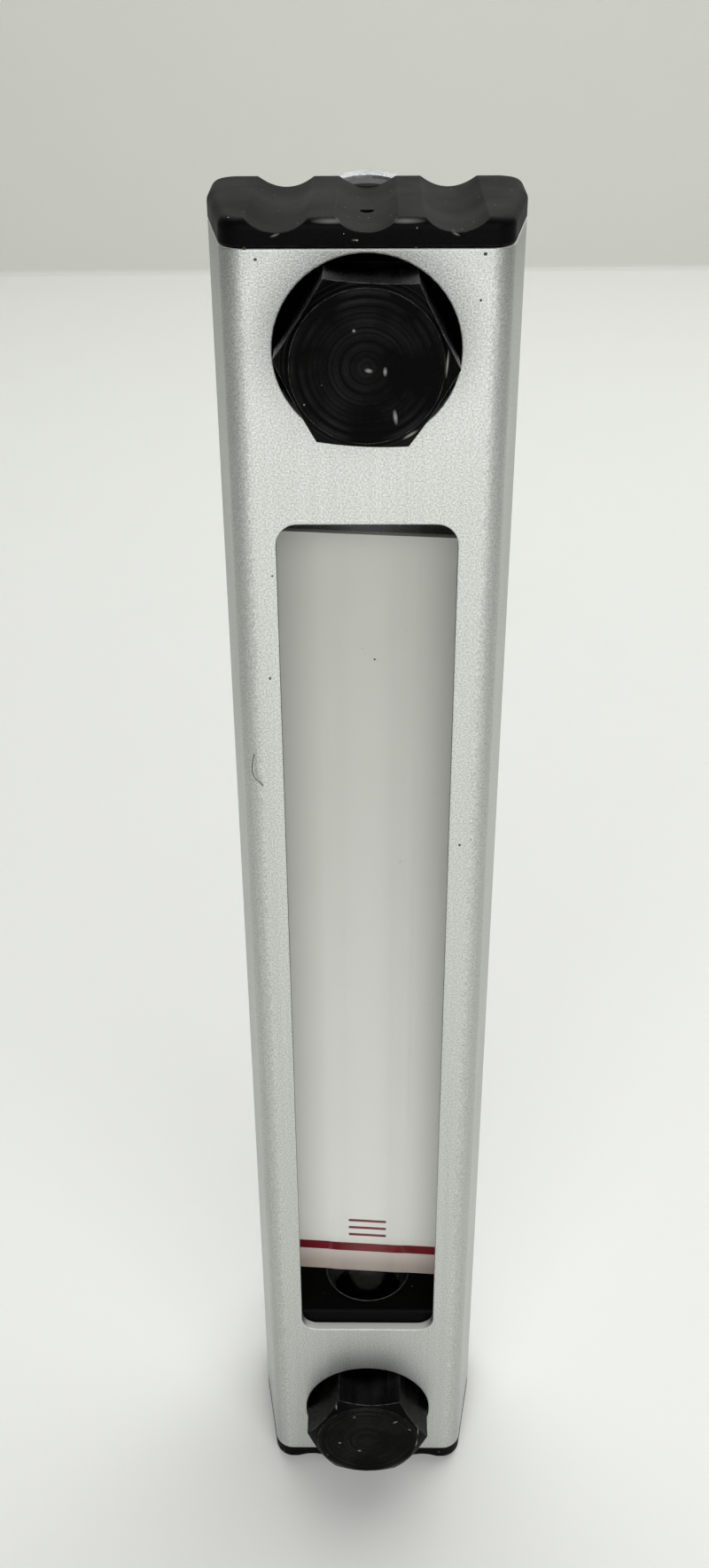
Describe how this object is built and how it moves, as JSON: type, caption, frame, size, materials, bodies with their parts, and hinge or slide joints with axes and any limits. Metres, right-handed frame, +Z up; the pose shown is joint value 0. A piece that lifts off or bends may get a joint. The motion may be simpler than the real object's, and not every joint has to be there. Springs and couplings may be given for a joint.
{
  "type": "tank level gauge",
  "caption": "Slim fluid level gauge with a clear sight glass and white contrast strip in an extruded housing, held to a tank wall by two hollow bolts.",
  "frame": {"origin": "lower bolt's axis at the tank wall, which is the rear face of the lower wall seal", "axes": "+Z up the gauge, +Y into the tank, so the gauge faces -Y"},
  "size_m": [0.0356, 0.0543, 0.203],
  "materials": {
    "housing": "satin anodised",
    "cap": "moulded, fine grain",
    "terminal": "moulded, semi-matt",
    "glass": "clear plastic, fine draw lines",
    "strip": "matt white, one red level line",
    "bolt": "black oxide, turned face",
    "seal": "smooth",
    "zinc": "bright zinc plate"
  },
  "bodies": {
    "root": {"contrast_strip": "strip", "housing_profile": "housing", "lower_banjo_bolt": "bolt", "lower_end_cap": "cap", "lower_head_seal": "seal", "lower_nut": "zinc", "lower_terminal": "terminal", "lower_tube_seal": "seal", "lower_wall_seal": "seal", "lower_washer": "zinc", "sight_glass": "glass", "upper_banjo_bolt": "bolt", "upper_end_cap": "cap", "upper_head_seal": "seal", "upper_nut": "zinc", "upper_terminal": "terminal", "upper_tube_seal": "seal", "upper_wall_seal": "seal", "upper_washer": "zinc"}
  },
  "joints": []
}
